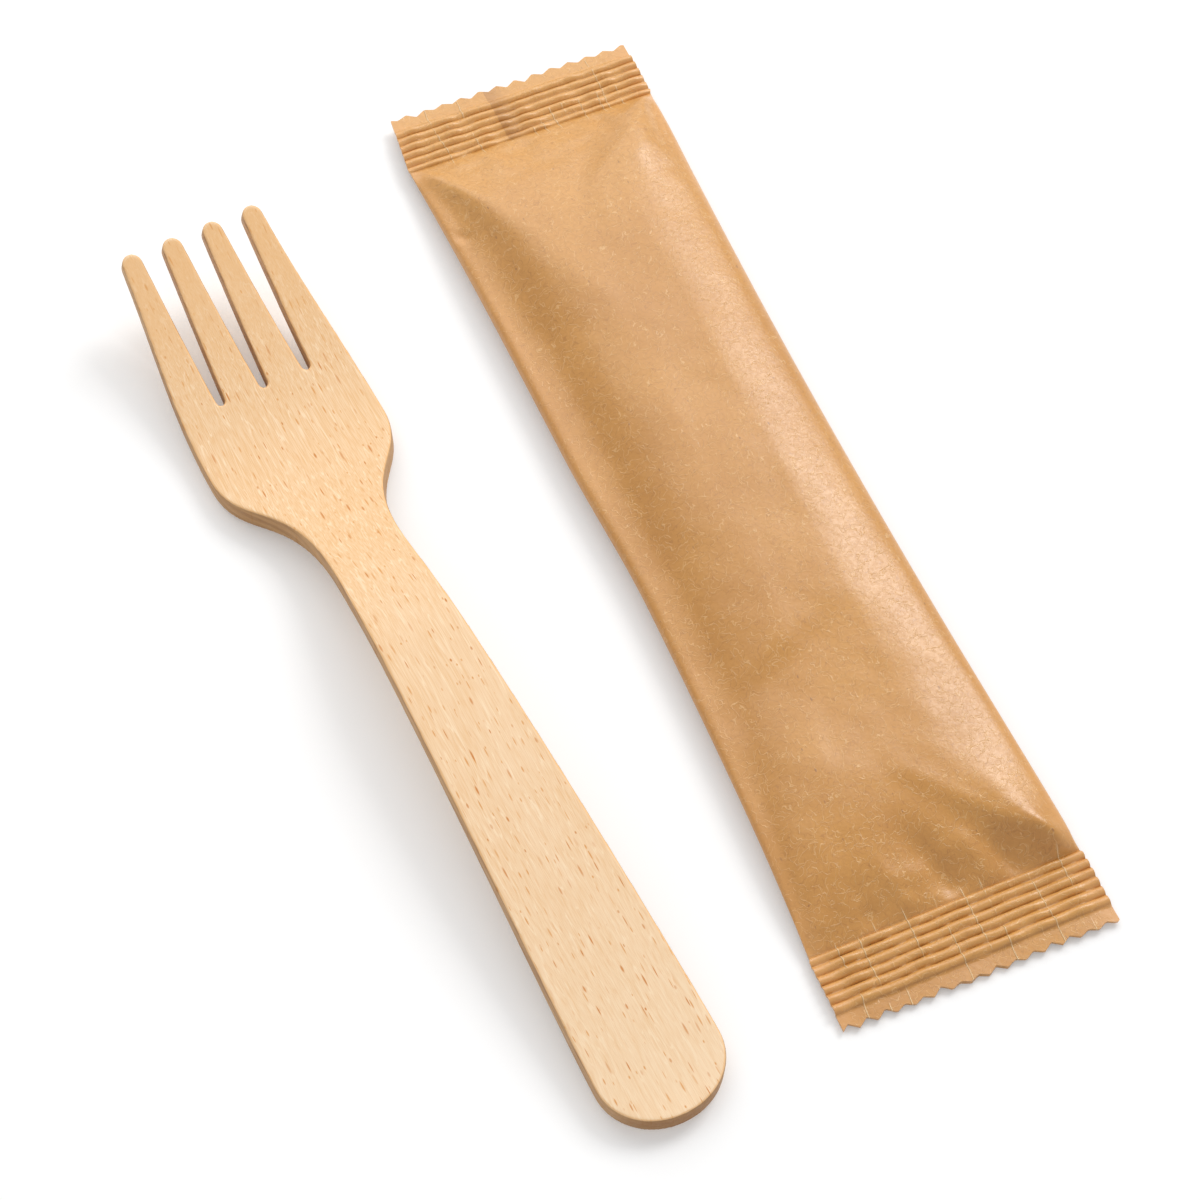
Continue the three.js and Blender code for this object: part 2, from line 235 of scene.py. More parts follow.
def makeHairGroup():
    # one short curved hair in each cell, lying at any angle; some cells stay empty
    inputs = {
        "Vector": ("Vector", None),
        "Cell": ("Float", 0.0018),
        "Length": ("Float", 0.001),
        "Width": ("Float", 0.000062),
        "Bend": ("Float", 0.7),
        "Coverage": ("Float", 0.85),
    }
    tree, given, made = newGroup("curledHairs", inputs, ["Mask"])
    cell = given.outputs["Cell"]
    gap, luck = randomCells(tree, given.outputs["Vector"], cell, cell)
    sockets = {"Vector": gap, "Angle": calc(tree, "MULTIPLY", luck[0], 2 * math.pi)}
    turned = addNode(tree, "ShaderNodeVectorRotate", sockets, rotation_type="Z_AXIS")
    parts = addNode(tree, "ShaderNodeSeparateXYZ", {"Vector": turned.outputs[0]})
    stretch = ramp(tree, luck[1], 0.0, 1.0, 0.5, 1.3)
    length = calc(tree, "MULTIPLY", given.outputs["Length"], stretch)
    alongHair = calc(tree, "DIVIDE", parts.outputs["X"], length)
    bow = calc(tree, "MULTIPLY", calc(tree, "MULTIPLY", alongHair, alongHair), given.outputs["Bend"])
    eitherWay = ramp(tree, luck[2], 0.0, 1.0, -1.0, 1.0)
    bow = calc(tree, "MULTIPLY", calc(tree, "MULTIPLY", bow, length), eitherWay)
    offHair = calc(tree, "ABSOLUTE", calc(tree, "SUBTRACT", parts.outputs["Y"], bow))
    line = ramp(tree, calc(tree, "DIVIDE", offHair, given.outputs["Width"]), 0.3, 1.0, 1.0, 0.0)
    ends = ramp(tree, calc(tree, "ABSOLUTE", alongHair), 0.6, 1.0, 1.0, 0.0)
    kept = calc(tree, "LESS_THAN", luck[1], given.outputs["Coverage"])
    mask = calc(tree, "MULTIPLY", calc(tree, "MULTIPLY", line, ends), kept)
    tree.links.new(mask, made.inputs["Mask"])
    return tree


def makeFleckGroup():
    # one small mark in each cell, drawn out along Y; some cells stay empty
    inputs = {
        "Vector": ("Vector", None),
        "Cell Width": ("Float", 0.002),
        "Cell Length": ("Float", 0.006),
        "Width": ("Float", 0.00015),
        "Length": ("Float", 0.0012),
        "Coverage": ("Float", 0.6),
    }
    tree, given, made = newGroup("smallFlecks", inputs, ["Mask"])
    cellWidth = given.outputs["Cell Width"]
    cellLength = given.outputs["Cell Length"]
    gap, luck = randomCells(tree, given.outputs["Vector"], cellWidth, cellLength)
    length = calc(tree, "MULTIPLY", given.outputs["Length"], ramp(tree, luck[1], 0.0, 1.0, 0.35, 1.5))
    width = calc(tree, "MULTIPLY", given.outputs["Width"], ramp(tree, luck[2], 0.0, 1.0, 0.6, 1.25))
    markSize = addNode(tree, "ShaderNodeCombineXYZ", {"X": width, "Y": length, "Z": 1.0})
    near = calcVector(tree, "LENGTH", calcVector(tree, "DIVIDE", gap, markSize.outputs[0]))
    mark = ramp(tree, near, 0.35, 1.0, 1.0, 0.0)
    least = calc(tree, "SUBTRACT", 1.0, given.outputs["Coverage"])
    strength = ramp(tree, luck[0], least, 1.0)
    tree.links.new(calc(tree, "MULTIPLY", mark, strength), made.inputs["Mask"])
    return tree


softMottle = makeMottleGroup()
fibreLines = makeFibreGroup()
curledHairs = makeHairGroup()
smallFlecks = makeFleckGroup()


def newMaterial(name):
    material = bpy.data.materials.new(name)
    material.use_nodes = True
    tree = material.node_tree
    shader = tree.nodes["Principled BSDF"]
    return material, tree, shader


def bump(tree, height, distance, strength=1.0, under=None):
    node = addNode(tree, "ShaderNodeBump", {"Height": height, "Distance": distance, "Strength": strength})
    if under is not None:
        tree.links.new(under, node.inputs["Normal"])
    return node.outputs[0]


# ---- the fork

forkShape = {                        # in mm
    "length": 160.0,
    "handleWidth": 18.9,
    "handleEndDepth": 8.6,
    "neckWidth": 12.0,
    "neckAt": 96.4,
    "headWidth": 28.8,
    "headAt": 121.7,
    "tineSpan": 23.4,
    "tineCount": 4,
    "tineLength": 26.5,
    "slotTipWidth": 3.5,
    "slotRootWidth": 1.3,
    "slotRootPitch": 7.15,
    "thickness": 3.4,
    "tineThickness": 3.0,
    "edgeRound": 0.3,
    "edgeSteps": 5,
    "handleSlope": 0.135,
    "levelReach": 5.0,
    "archAt": 77.0,
    "archHeight": 8.2,
    "bellyAt": 123.0,
    "tineLift": 10.9,
    "tineSlope": 0.45,
    "fromSachet": (-45.95, -89.2),   # handle's end, from the sachet's middle
    "lean": 4.8,
    "voxel": 0.28,
}


def ease(t):
    t = np.clip(t, 0, 1)
    return t * t * (3 - 2 * t)


def arcPoints(x, y, radiusX, radiusY, start, end, steps):
    a = np.linspace(start, end, steps + 1)
    return np.column_stack([x + radiusX * np.cos(a), y + radiusY * np.sin(a)])


def curvePoints(a, b, c, d, steps=30):
    t = np.linspace(0, 1, steps + 1)[:, None]
    s = 1 - t
    a, b, c, d = (np.array(p, float) for p in (a, b, c, d))
    return s ** 3 * a + 3 * s * s * t * b + 3 * s * t * t * c + t ** 3 * d


def forkOutline(f):
    radius = (f["tineSpan"] - (f["tineCount"] - 1) * f["slotTipWidth"]) / f["tineCount"] / 2
    tipY = f["length"] - radius
    handle = (f["handleWidth"] / 2, f["handleEndDepth"])
    neck = (f["neckWidth"] / 2, f["neckAt"])
    head = (f["headWidth"] / 2, f["headAt"])
    tip = (f["tineSpan"] / 2, tipY)
    taper = neck[1] - handle[1]
    shoulder = head[1] - neck[1]
    side = tip[1] - head[1]
    lean = (tip[0] + (head[0] - tip[0]) * 0.4, tip[1] - side * 0.4)

    def ahead(point, distance):
        return (point[0], point[1] + distance)

    # the right edge in three runs: up the handle, round the neck and up the head
    lower = curvePoints(handle, ahead(handle, taper * 0.14), ahead(neck, -taper * 0.08), neck, 60)
    middle = curvePoints(neck, ahead(neck, shoulder * 0.64), ahead(head, -shoulder * 0.43), head)
    upper = curvePoints(head, ahead(head, side * 0.42), lean, tip)
    right = np.vstack([lower, middle[1:], upper[1:-1]])
    tines = []
    rootRadius = f["slotRootWidth"] / 2
    rootY = f["length"] - f["tineLength"] + rootRadius
    for i in range(f["tineCount"]):
        tipX = f["tineSpan"] / 2 - radius - i * (2 * radius + f["slotTipWidth"])
        tines.append(arcPoints(tipX, tipY, radius, radius, 0, math.pi, 16))
        if i < f["tineCount"] - 1:
            rootX = f["slotRootPitch"] * (f["tineCount"] / 2 - 1 - i)
            tines.append(arcPoints(rootX, rootY, rootRadius, rootRadius, 0, -math.pi, 10))
    end = arcPoints(0, handle[1], handle[0], handle[1], math.pi, 2 * math.pi, 48)
    left = right[::-1] * (-1, 1)
    return np.vstack([end[:-1], right, *tines, left[:-1]])


def insetOutline(outline, inset):
    # moves each point inwards along the middle of its two edges
    before = outline - np.roll(outline, 1, axis=0)
    after = np.roll(outline, -1, axis=0) - outline
    before = before / np.linalg.norm(before, axis=1)[:, None]
    after = after / np.linalg.norm(after, axis=1)[:, None]
    along = before + after
    along = along / np.linalg.norm(along, axis=1)[:, None]
    inward = np.column_stack([-along[:, 1], along[:, 0]])
    mitre = np.clip((along * after).sum(axis=1), 0.6, 1)
    return outline + inward * (inset / mitre)[:, None]


def meshObject(name, points, faces):
    mesh = bpy.data.meshes.new(name)
    mesh.from_pydata(points, [], faces)
    mesh.update()
    thing = bpy.data.objects.new(name, mesh)
    scene.collection.objects.link(thing)
    return thing


def readPoints(mesh):
    flat = np.empty(len(mesh.vertices) * 3)
    mesh.vertices.foreach_get("co", flat)
    return flat.reshape(-1, 3)


def cubic(t, start, startSlope, end, endSlope):
    s = 1 - t
    return s * s * (start * (1 + 2 * t) + startSlope * t) + t * t * (end * (3 - 2 * t) - endSlope * s)


def forkProfile(f, y):
    # height of the underside along the fork: raised neck, low belly, lifted tines
    handle = cubic(y / f["archAt"], 0, f["handleSlope"] * f["archAt"], f["archHeight"], 0)
    settled = f["handleSlope"] * f["levelReach"] * (1 - np.exp(-np.maximum(y, 0) / f["levelReach"]))
    handle = np.maximum(handle, 0) - settled
    arch = f["archHeight"] - f["handleSlope"] * f["levelReach"]
    neck = cubic((y - f["archAt"]) / (f["bellyAt"] - f["archAt"]), arch, 0, 0, 0)
    reach = f["length"] - f["bellyAt"]
    tines = cubic((y - f["bellyAt"]) / reach, 0, 0, f["tineLift"], f["tineSlope"] * reach)
    return np.where(y < f["archAt"], handle, np.where(y < f["bellyAt"], neck, tines))


def pressFork(f, points):
    # bends the flat blank along its profile, with thinner tines
    y = points[:, 1]
    near = 0.01
    slope = np.arctan2(forkProfile(f, y + near) - forkProfile(f, y - near), 2 * near)
    thinning = ease((y - f["bellyAt"]) / (f["length"] - f["bellyAt"]))
    height = points[:, 2] * (1 + thinning * (f["tineThickness"] / f["thickness"] - 1))
    pressed = points.copy()
    pressed[:, 1] = y - height * np.sin(slope)
    pressed[:, 2] = forkProfile(f, y) + height * np.cos(slope)
    return pressed


def placeFork(f, points):
    a = math.radians(f["lean"])
    placed = points.copy()
    placed[:, 0] = points[:, 0] * math.cos(a) - points[:, 1] * math.sin(a)
    placed[:, 1] = points[:, 0] * math.sin(a) + points[:, 1] * math.cos(a)
    placed[:, :2] += sachetMiddle[:2] + f["fromSachet"]
    return placed * mm


def makeFork(f):
    outline = forkOutline(f)
    rings = []
    for step in np.linspace(0, math.pi / 2, f["edgeSteps"]):
        level = f["edgeRound"] * (1 - math.cos(step))
        rings.append((f["edgeRound"] * (1 - math.sin(step)), level))
    rings += [(inset, f["thickness"] - level) for inset, level in rings[::-1]]
    points = []
    for inset, level in rings:
        ring = insetOutline(outline, inset)
        points += [(x, y, level) for x, y in ring]
    count = len(outline)
    faces = [list(range(count))[::-1]]
    for r in range(len(rings) - 1):
        for i in range(count):
            j = (i + 1) % count
            faces.append((r * count + i, r * count + j, (r + 1) * count + j, (r + 1) * count + i))
    faces.append([(len(rings) - 1) * count + i for i in range(count)])
    blank = meshObject("forkBlank", points, faces)
    remesh = blank.modifiers.new("remesh", "REMESH")
    remesh.mode = "VOXEL"
    remesh.voxel_size = f["voxel"]
    smooth = blank.modifiers.new("smooth", "SMOOTH")
    smooth.factor = 0.5
    smooth.iterations = 2
    ready = blank.evaluated_get(bpy.context.evaluated_depsgraph_get())
    mesh = bpy.data.meshes.new_from_object(ready)
    bpy.data.objects.remove(blank)
    placed = placeFork(f, pressFork(f, readPoints(mesh)))
    mesh.vertices.foreach_set("co", placed.ravel())
    mesh.name = "woodenFork"
    mesh.shade_smooth()
    mesh.update()
    fork = bpy.data.objects.new("woodenFork", mesh)
    scene.collection.objects.link(fork)
    return fork


woodLook = {
    "pale": colour(243, 208, 168),
    "deep": colour(232, 186, 132),
    "streak": colour(250, 223, 188),
    "fleck": colour(208, 128, 44),
    "fineFleck": colour(220, 150, 72),
    # the side walls' and the end wall's darker tones are partly painted shade
    "wall": colour(206, 160, 106),
    "wallStreak": colour(158, 108, 60),
    "endGrainAndShade": colour(150, 102, 56),
    "edge": colour(243, 188, 122),
    # how much of each tone is laid on
    "patchShare": 0.6,
    "strandShare": 0.5,
    "fineStrandShare": 0.45,
    "hairShare": 0.75,
    "fleckShare": 0.9,
    "fineFleckShare": 0.85,
    "wallToneAndShadeShare": 0.8,
    "endGrainAndShadeShare": 0.6,
    "edgeShare": 0.6,
    # where the painted light and shade change, in metres along the fork from the frame's middle
    "handleLightFrom": -0.035,
    "handleLightTo": -0.085,
    "neckShadeFrom": (-0.02, 0.02),
    "neckShadeEnd": (0.045, 0.065),
    "grainSway": 0.0022,
    "grainWave": 25.0,
    "bold": {
        "Cell Width": 0.0019,
        "Cell Length": 0.0044,
        "Width": 0.00017,
        "Length": 0.0009,
        "Coverage": 0.75,
    },
    "faint": {
        "Cell Width": 0.0011,
        "Cell Length": 0.0034,
        "Width": 0.00013,
        "Length": 0.0008,
        "Coverage": 0.85,
    },
    "roughness": (0.5, 0.62),
    "sheen": 0.35,
    "grainHeight": 0.00002,
}


def makeWood(look):
    material, tree, shader = newMaterial("paleBeech")
    place = addNode(tree, "ShaderNodeTexCoord").outputs["Object"]
    sockets = {"Vector": place, "Rotation": (0, 0, -math.radians(forkShape["lean"]))}
    turned = addNode(tree, "ShaderNodeMapping", sockets, vector_type="POINT").outputs[0]
    wander = calc(tree, "SUBTRACT", noise(tree, turned, look["grainWave"]), 0.5)
    aside = calc(tree, "MULTIPLY", wander, look["grainSway"])
    sway = addNode(tree, "ShaderNodeCombineXYZ", {"X": aside, "Y": 0.0, "Z": 0.0})
    grain = calcVector(tree, "ADD", turned, sway.outputs[0])

    # the grain drawn out along the fork by different amounts
    drawn = calcVector(tree, "MULTIPLY", grain, (1.0, 0.035, 0.6))
    hairy = calcVector(tree, "MULTIPLY", grain, (1.0, 0.05, 0.7))
    broad = calcVector(tree, "MULTIPLY", grain, (1.0, 0.12, 1.0))
    layers = calcVector(tree, "MULTIPLY", grain, (0.12, 0.05, 1.0))
    patches = useGroup(tree, softMottle, Vector=broad, Scale=150.0, Contrast=2.2)
    strands = useGroup(tree, softMottle, Vector=drawn, Scale=2600.0, Contrast=3.2)
    fineStrands = useGroup(tree, softMottle, Vector=drawn, Scale=6500.0, Contrast=3.6)
    lines = {"Scale": 2100.0, "Thickness": 0.06, "Coverage": 0.5, "Curl": 0.0}
    hairs = useGroup(tree, fibreLines, Vector=hairy, **lines)
    body = tint(tree, look["pale"], patches, look["patchShare"], look["deep"])

    # painted light towards the handle's end and painted shade about the neck and the head, evening out how
    # the lamps fall along the bent fork
    length = addNode(tree, "ShaderNodeSeparateXYZ", {"Vector": turned}).outputs["Y"]
    handleEndLight = ramp(tree, length, look["handleLightTo"], look["handleLightFrom"], 0.6, 0.0)
    neckShade = ramp(tree, length, *look["neckShadeFrom"])
    neckShade = calc(tree, "MULTIPLY", neckShade, ramp(tree, length, *look["neckShadeEnd"], 0.75, 0.2))
    body = mixColour(tree, handleEndLight, body, look["streak"])
    body = mixColour(tree, neckShade, body, look["deep"])
    body = tint(tree, body, strands, look["strandShare"], look["deep"])
    body = tint(tree, body, fineStrands, look["fineStrandShare"], look["streak"])
    body = tint(tree, body, hairs, look["hairShare"], look["streak"])

    elsewhere = calcVector(tree, "ADD", grain, (0.31, 0.17, 0))
    boldFlecks = useGroup(tree, smallFlecks, Vector=grain, **look["bold"])
    faintFlecks = useGroup(tree, smallFlecks, Vector=elsewhere, **look["faint"])
    body = tint(tree, body, faintFlecks, look["fineFleckShare"], look["fineFleck"])
    body = tint(tree, body, boldFlecks, look["fleckShare"], look["fleck"])

    # side walls darker, partly their own brown tone with the layers of the wood and partly painted shade,
    # and a warm line along each edge
    normal = addNode(tree, "ShaderNodeNewGeometry").outputs["Normal"]
    facing = addNode(tree, "ShaderNodeSeparateXYZ", {"Vector": normal})
    upright = calc(tree, "ABSOLUTE", facing.outputs["Z"])
    wall = ramp(tree, upright, 0.45, 0.8, 1.0, 0.0)
    edge = calc(tree, "MULTIPLY", ramp(tree, upright, 0.55, 0.8), ramp(tree, upright, 0.9, 0.995, 1.0, 0.0))
    rings = useGroup(tree, softMottle, Vector=layers, Scale=1500.0, Contrast=3.0)
    side = mixColour(tree, rings, look["wallStreak"], look["wall"])
    body = tint(tree, body, wall, look["wallToneAndShadeShare"], side)
    # the end wall at the handle's end is darker still: partly end grain, partly painted shade
    endWallShade = calc(tree, "MULTIPLY", ramp(tree, facing.outputs["Y"], -0.95, -0.4, 1.0, 0.0), wall)
    body = tint(tree, body, endWallShade, look["endGrainAndShadeShare"], look["endGrainAndShade"])
    body = tint(tree, body, edge, look["edgeShare"], look["edge"])
    tree.links.new(body, shader.inputs["Base Color"])

    rough = ramp(tree, strands, 0.0, 1.0, *look["roughness"])
    tree.links.new(rough, shader.inputs["Roughness"])
    shader.inputs["Specular IOR Level"].default_value = look["sheen"]
    tree.links.new(bump(tree, fineStrands, look["grainHeight"], 0.5), shader.inputs["Normal"])
    return material


# ---- the sachet

sachetShape = {                      # in mm
    "length": 172.6,
    "width": 42.4,
    "sealDepth": 11.7,
    "ribCount": 6,
    "ribPitch": 1.53,
    "ribStart": -0.3,
    "ribHeight": 0.66,
    "ribRoundness": 0.55,
    "ribDents": 0.25,
    "sealSag": 0.12,
    "sealThickness": 0.45,
    "sealProud": 0.2,
    "topTeeth": 13,
    "footTeeth": 15,
    "toothDepth": 0.85,
    "toothUneven": 0.3,
    "toothPhase": 0.15,
    "topSealDraw": 1.3,
    "finWidth": 8.0,
    "finThickness": 0.4,
    "finOffset": 0.2,
    "pillowHeight": 9.0,
    "foldHeight": 3.0,
    "waist": 2.0,
    "topRise": 34.0,
    "footRise": 34.0,
    "topSteepness": 2.4,
    "footSteepness": 3.0,
    "topCornerRise": 15.0,
    "footCornerRise": 6.5,
    "cornerBlend": 8.0,
    "footDrop": 2.2,
    "dropFrom": 2.0,
    "dropTo": -62.0,
    "settleReach": 15.0,
    "topSealLevel": 2.0,
    "footSealLevel": 1.0,
    "skirtShare": 0.2,
    "skirtEdge": 1.6,
    "skirtEnd": -17.5,
    "crownStart": -2.5,
    "crownEnd": 7.2,
    "steepestAt": 0.28,
    "steepestAtTop": 0.62,
    "shoulderFall": 0.52,
    "facetFall": 0.6,
    "leftBulge": 1.0,
    "facetCurve": 1.1,
    "shoulderCurve": 1.6,
    "shoulderLeast": 1.5,
    "shoulderReach": 19.0,
    "crownReach": 42.0,
    "skirtOnset": 20.0,
    "cornerRound": 1.5,
    "finStep": 0.06,
    "columns": 124,
    "bodyRows": 190,
    "ribRows": 10,
    "bandRows": 10,
}
sachetShape["pillowHalf"] = sachetShape["length"] / 2 - sachetShape["sealDepth"]

# uneven paper: height and wavelength in mm, and the seed of each surface
crumple = {
    "broad": (0.10, 17, 3),
    "small": (0.035, 6, 4),
    "topEnd": (0.2, 4.5, 5),
    "footEnd": (0.14, 4.5, 5),
    "back": (0.08, 14, 6),
}

# soft folds in the paper: start and end from the sachet's middle, width and height in mm
softFolds = [
    {"start": (-20.5, 73.5), "end": (-9.8, 54.5), "width": 1.6, "height": 0.35},
    {"start": (-21.5, 59.6), "end": (-16.5, 56.6), "width": 0.8, "height": -0.55},
    {"start": (20.4, 74.6), "end": (15.6, 66.0), "width": 1.1, "height": 0.75},
    {"start": (17.2, 76.2), "end": (9.5, 48.0), "width": 2.6, "height": 0.25},
    {"start": (19.2, 72.0), "end": (17.4, 57.0), "width": 1.5, "height": -0.6},
    {"start": (11.0, 75.5), "end": (13.5, 69.0), "width": 1.0, "height": 0.3},
    {"start": (-9.5, 75.0), "end": (-6.0, 64.0), "width": 1.8, "height": 0.3},
    {"start": (-3.0, 75.0), "end": (-1.0, 62.0), "width": 1.9, "height": -0.3},
    {"start": (20.6, -76.0), "end": (14.5, -66.0), "width": 1.2, "height": 0.2},
    {"start": (18.6, -76.4), "end": (11.0, -54.0), "width": 2.4, "height": 0.25},
    {"start": (-7.0, -30.0), "end": (3.0, -56.0), "width": 9.0, "height": -0.6},
    {"start": (12.0, -76.0), "end": (8.5, -66.0), "width": 1.6, "height": -0.7},
    {"start": (7.5, -76.0), "end": (5.5, -64.0), "width": 1.5, "height": 0.5},
    {"start": (2.5, -75.5), "end": (-2.5, -60.0), "width": 2.2, "height": -1.1},
    {"start": (-4.5, -75.5), "end": (-7.5, -63.0), "width": 1.5, "height": 0.45},
    {"start": (-11.0, -75.0), "end": (-11.5, -66.0), "width": 1.6, "height": -0.35},
    {"start": (-20.6, -75.0), "end": (-15.5, -66.0), "width": 1.4, "height": 0.4},
]


def softNoise(x, y, wavelength, seed):
    # a smooth random surface, about -1 to 1
    chance = np.random.RandomState(seed)
    total = np.zeros_like(x)
    for i in range(14):
        angle = chance.uniform(0, 2 * math.pi)
        wave = wavelength * chance.uniform(0.7, 1.8)
        turn = chance.uniform(0, 2 * math.pi)
        total += np.sin(2 * math.pi * (x * math.cos(angle) + y * math.sin(angle)) / wave + turn)
    return total / 5.0


def crumpled(x, y, kind):
    height, wavelength, seed = crumple[kind]
    return height * softNoise(x, y, wavelength, seed)


def foldRelief(x, y, fold):
    a = np.array(fold["start"])
    b = np.array(fold["end"])
    d = b - a
    t = np.clip(((x - a[0]) * d[0] + (y - a[1]) * d[1]) / (d @ d), 0, 1)
    off = np.hypot(x - a[0] - t * d[0], y - a[1] - t * d[1])
    fade = ease(t * 6) * ease((1 - t) * 2)
    return fold["height"] * fade * np.exp(-(off / fold["width"]) ** 2)


def fillingOut(s, y, reach, steepness):
    # 0 at the seals, 1 once the pillow is full
    rise = np.clip((s["pillowHalf"] - np.abs(y)) / reach, 0, 1)
    return 1 - (1 - rise) ** steepness


def pillowFullness(s, y, atCorner=0.0):
    # atCorner is 1 along the crests that run into the two corners away from the fork
    topReach = between(atCorner, s["topRise"], s["topCornerRise"])
    footReach = between(atCorner, s["footRise"], s["footCornerRise"])
    atTop = fillingOut(s, y, topReach, s["topSteepness"])
    return np.where(y > 0, atTop, fillingOut(s, y, footReach, s["footSteepness"]))


def sealLevel(s, y):
    share = np.clip(0.5 + y / s["pillowHalf"] / 2, 0, 1)
    return s["footSealLevel"] + (s["topSealLevel"] - s["footSealLevel"]) * share


def foldLevel(s, y):
    level = sealLevel(s, y)
    return level + (s["foldHeight"] - level) * pillowFullness(s, y)


def pillowHalfWidth(s, y):
    share = np.clip(np.abs(y) / s["pillowHalf"], 0, 1)
    return s["width"] / 2 - s["sealProud"] - s["waist"] * (1 - share * share)


def leftHalfWidth(s, y):
    # the edge beside the fork is straighter towards the top
    share = np.clip(np.abs(y) / s["pillowHalf"], 0, 1)
    return pillowHalfWidth(s, y) + s["leftBulge"] * ease((y + 15) / 30) * (1 - share * share)


def between(share, start, end):
    return start + (end - start) * share


def crestLine(s, y):
    # where the round shoulder starts: it runs out to the corners near the seals
    share = np.clip((s["pillowHalf"] - np.abs(y)) / s["shoulderReach"], 0, 1)
    return between(share, pillowHalfWidth(s, y) - s["shoulderLeast"], s["crownEnd"])


def sectionShape(s, x, y):
    # across the pillow: a flat skirt beside the fork, the rise, the crown and a round shoulder
    half = pillowHalfWidth(s, y)
    fromSeal = s["pillowHalf"] - np.abs(y)
    onset = ease((fromSeal - s["skirtOnset"]) / (s["crownReach"] - s["skirtOnset"]))
    leftHalf = leftHalfWidth(s, y)
    left = between(onset, -leftHalf, s["skirtEnd"])
    spread = fillingOut(s, y, s["crownReach"], s["cornerRound"])
    crownStart = s["crownStart"] - 2 * ease((y - 30) / 20)
    middle = between(spread, s["skirtEdge"] - leftHalf, crownStart)
    right = crestLine(s, y)
    edge = np.clip((x + leftHalf) / s["skirtEdge"], 0, 1)
    skirt = s["skirtShare"] * np.sqrt(edge * (2 - edge))
    way = np.clip((x - left) / (middle - left), 0, 1)
    turn = between(ease((y - 35) / 20), s["steepestAt"], s["steepestAtTop"])
    rise = np.where(way < turn, way * way / turn, 1 - (1 - way) ** 2 / (1 - turn))
    past = np.clip((x - right) / (half - right), 0, 1)
    # towards the foot the shoulder becomes a flat facet that runs into the corner
    share = np.where(y > 0, 1, np.clip(fromSeal / s["shoulderReach"], 0, 1))
    fall = between(share, s["facetFall"], s["shoulderFall"])
    curve = between(share, s["facetCurve"], s["shoulderCurve"])
    shoulder = (1 - fall * past ** curve) * np.sqrt(1 - past ** 12)
    return (skirt + (1 - s["skirtShare"]) * rise) * shoulder


def pillowTop(s, x, y):
    share = np.clip(np.abs(x) / pillowHalfWidth(s, y), 0, 1)
    drop = s["footDrop"] * ease((s["dropFrom"] - y) / (s["dropFrom"] - s["dropTo"]))
    peak = s["pillowHeight"] - s["foldHeight"] - s["sealThickness"] / 2 - drop
    # the corners away from the fork stay full until closer to the seals
    atCorner = ease((x - crestLine(s, y) + s["cornerBlend"]) / s["cornerBlend"])
    full = pillowFullness(s, y, atCorner)
    level = foldLevel(s, y) + s["sealThickness"] / 2 + full * peak * sectionShape(s, x, y)
    inside = ease((s["pillowHalf"] - np.abs(y)) / 3) * ease((1 - share) * 8)
    for fold in softFolds:
        level += inside ** 0.5 * foldRelief(x, y, fold)
    level += inside * (crumpled(x, y, "broad") + crumpled(x, y, "small"))
    ends = np.exp(-(s["pillowHalf"] - np.abs(y)) / 9)
    level += inside * ends * np.where(y > 0, crumpled(x, y, "topEnd"), crumpled(x, y, "footEnd"))
    return level


def pillowBottom(s, x, y):
    share = np.clip(np.abs(x) / pillowHalfWidth(s, y), 0, 1)
    flat = foldLevel(s, y) - s["sealThickness"] / 2
    belly = s["finThickness"] + (flat - s["finThickness"]) * share ** 3
    settled = ease((s["pillowHalf"] - np.abs(y)) / s["settleReach"])
    level = flat + (belly - flat) * settled
    inside = ease((s["pillowHalf"] - np.abs(y)) / 4) * ease((1 - share) * 4)
    return level + inside * (0.1 + crumpled(x, y, "back"))


def toothEdge(s, x, teeth, seed):
    # how far the pinked edge is from the seal's root, at x
    chance = np.random.RandomState(seed)
    pitch = s["width"] / teeth
    place = (x + s["width"] / 2) / pitch + s["toothPhase"]
    count = np.floor(place).astype(int) + 1
    depth = 1 + s["toothUneven"] * chance.uniform(-1, 1, teeth + 3)[count]
    inTooth = place % 1
    return s["sealDepth"] - s["toothDepth"] * depth * (1 - np.abs(2 * inTooth - 1))


def sealRelief(s, out, x, seed):
    # height of the ribs at a distance out from the seal's root
    crimp = s["ribCount"] * s["ribPitch"] + s["ribStart"]
    wobble = 0.07 * softNoise(x, out * 0, 9, seed)
    turn = math.pi * (out + wobble * ease(out) - s["ribStart"]) / s["ribPitch"]
    ribs = np.abs(np.sin(turn)) ** s["ribRoundness"]
    dents = 1 - s["ribDents"] * np.clip(softNoise(x, out * 0.4, 3.5, seed + 1), -1, 1)
    ribbed = np.where(out > crimp, 0.0, 1.0)
    sag = s["sealSag"] * softNoise(x, out, 12, seed + 2) * ease(out / 6)
    return s["ribHeight"] * ribs * dents * ribbed + sag


